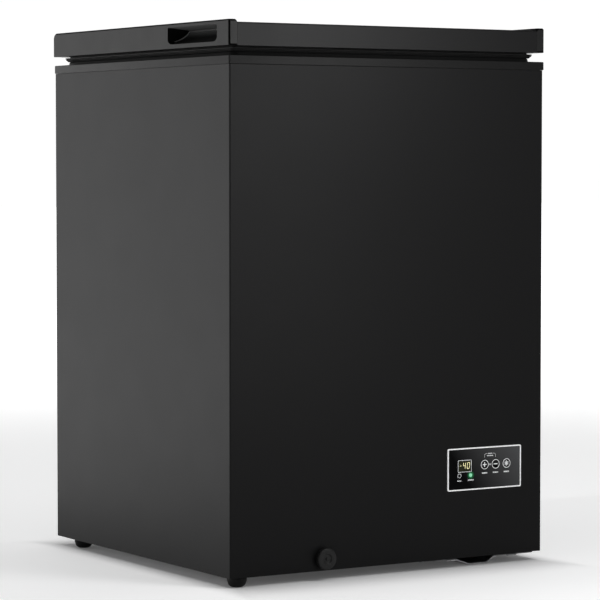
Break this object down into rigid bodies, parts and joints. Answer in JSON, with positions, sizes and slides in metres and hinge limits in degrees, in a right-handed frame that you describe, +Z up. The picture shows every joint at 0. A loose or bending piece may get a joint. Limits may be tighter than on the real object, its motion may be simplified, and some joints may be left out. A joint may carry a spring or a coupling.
{
  "type": "chest freezer",
  "caption": "Compact top-opening chest freezer with a hinged lid, side finger recesses, a front control panel, a drain and hanging baskets.",
  "frame": {"origin": "on the floor, under the middle of the cabinet's box", "axes": "+Z up, -Y out of the front face that carries the control panel, +X towards the compressor side, at the right seen from the front"},
  "size_m": [0.5778, 0.5944, 0.845],
  "materials": {
    "black_paint": "satin",
    "black_plastic": "satin",
    "galvanised_steel": "satin",
    "white_liner": "satin",
    "white_panel": "satin",
    "insulating_foam": "matte",
    "copper_tube": "satin",
    "black_steel": "satin",
    "black_rubber": "matte",
    "silver_line": "satin",
    "gloss_black": "gloss",
    "circuit_board": "satin",
    "display_glass": "gloss",
    "lock_lens": "gloss",
    "run_lens": "gloss",
    "hinge_steel": "satin",
    "basket_white": "satin"
  },
  "bodies": {
    "cabinet": {"outer_wrap": "black_paint", "rear_panel": "black_paint", "bottom_panel": "galvanised_steel", "top_frame": "black_plastic", "inner_liner": "white_liner", "foam_body": "insulating_foam", "evaporator_coil": "copper_tube", "temperature_sensor": "black_plastic", "condenser_coil": "copper_tube", "compressor_base_plate": "galvanised_steel", "compressor_cover": "black_paint", "cord_gland": "black_plastic", "vent_grille": "black_plastic", "foot_front_left": "black_plastic", "foot_rear_left": "black_plastic", "compressor": "black_steel", "compressor_foot_plate": "black_steel", "mount_grommet_1": "black_rubber", "mount_grommet_2": "black_rubber", "mount_grommet_3": "black_rubber", "mount_grommet_4": "black_rubber", "start_relay_cover": "black_plastic", "suction_pipe": "copper_tube", "discharge_pipe": "copper_tube", "filter_drier": "copper_tube", "drain_pipe": "black_plastic", "drain_collar": "black_plastic", "control_bezel": "silver_line", "control_fascia": "gloss_black", "control_housing": "black_plastic", "control_board": "circuit_board", "display_module": "display_glass", "lock_indicator": "lock_lens", "run_indicator": "run_lens", "hinge_base_left": "hinge_steel", "hinge_base_right": "hinge_steel", "hinge_pin_left": "hinge_steel", "hinge_pin_right": "hinge_steel", "hinge_spring_left": "hinge_steel", "hinge_spring_right": "hinge_steel"},
    "lid": {"lid_outer_panel": "black_paint", "lid_trim_left": "black_plastic", "lid_trim_right": "black_plastic", "lid_inner_panel": "white_panel", "lid_foam": "insulating_foam", "lid_gasket": "black_rubber", "hinge_arm_left": "hinge_steel", "hinge_arm_right": "hinge_steel"},
    "temp_up_button": {"button_temp_up": "gloss_black"},
    "temp_down_button": {"button_temp_down": "gloss_black"},
    "power_button": {"button_power": "gloss_black"},
    "outer_drain_plug": {"drain_plug_outer": "black_plastic"},
    "inner_drain_plug": {"drain_plug_inner": "black_plastic"},
    "left_basket": {"basket_left": "basket_white"},
    "right_basket": {"basket_right": "basket_white"}
  },
  "joints": [
    {"name": "lid_hinge", "type": "hinge", "parent": "cabinet", "child": "lid", "pos_m": [0, 0.294, 0.8], "axis": [-1, 0, 0], "range_deg": [0, 85]},
    {"name": "temp_up_press", "type": "slide", "parent": "cabinet", "child": "temp_up_button", "axis": [0, 1, 0], "range_m": [0, 0.0006], "stiffness_N_per_m": 400},
    {"name": "temp_down_press", "type": "slide", "parent": "cabinet", "child": "temp_down_button", "axis": [0, 1, 0], "range_m": [0, 0.0006], "stiffness_N_per_m": 400},
    {"name": "power_press", "type": "slide", "parent": "cabinet", "child": "power_button", "axis": [0, 1, 0], "range_m": [0, 0.0006], "stiffness_N_per_m": 400},
    {"name": "outer_drain_plug_pull", "type": "slide", "parent": "cabinet", "child": "outer_drain_plug", "axis": [0, -1, 0], "range_m": [0, 0.03]},
    {"name": "inner_drain_plug_lift", "type": "slide", "parent": "cabinet", "child": "inner_drain_plug", "axis": [0, 0, 1], "range_m": [0, 0.03]},
    {"name": "left_basket_slide", "type": "slide", "parent": "cabinet", "child": "left_basket", "axis": [1, 0, 0], "range_m": [0, 0.01]},
    {"name": "right_basket_slide", "type": "slide", "parent": "cabinet", "child": "right_basket", "axis": [1, 0, 0], "range_m": [-0.01, 0]}
  ]
}
